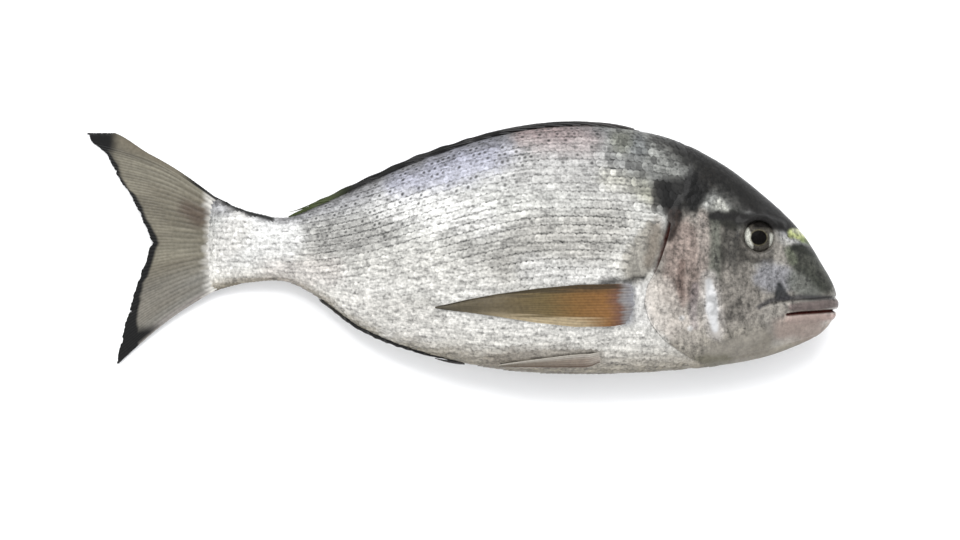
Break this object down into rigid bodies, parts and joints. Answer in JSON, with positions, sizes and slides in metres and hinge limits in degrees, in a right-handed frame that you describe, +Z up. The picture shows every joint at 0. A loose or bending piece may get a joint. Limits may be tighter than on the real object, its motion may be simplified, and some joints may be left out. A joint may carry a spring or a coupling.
{
  "type": "sea bream",
  "caption": "Whole gilt-head sea bream lying on its left flank, with a deep body, folded fins and a forked tail.",
  "frame": {"origin": "on the surface that the fish lies on, under the middle of its bounding box", "axes": "+X to the snout, +Y to the back, +Z up, out of the right flank; the fish lies on its left flank"},
  "size_m": [0.32, 0.1074, 0.0422],
  "materials": {
    "silver_skin": "wet silver scales, grey-black on the back and the head",
    "eye": "clear wet cornea over a silver iris and a black pupil",
    "grey_fin": "wet olive-grey rays and membrane, black at the rear edge of the tail",
    "dark_fin": "wet near-black folded spines and membrane",
    "amber_fin": "wet translucent amber rays, paler along the lower edge"
  },
  "bodies": {
    "root": {"body": "silver_skin", "right_eye": "eye", "left_eye": "eye", "tail_fin": "grey_fin", "dorsal_fin": "dark_fin", "anal_fin": "dark_fin", "right_pectoral_fin": "amber_fin", "left_pectoral_fin": "amber_fin", "right_pelvic_fin": "grey_fin", "left_pelvic_fin": "grey_fin"}
  },
  "joints": []
}
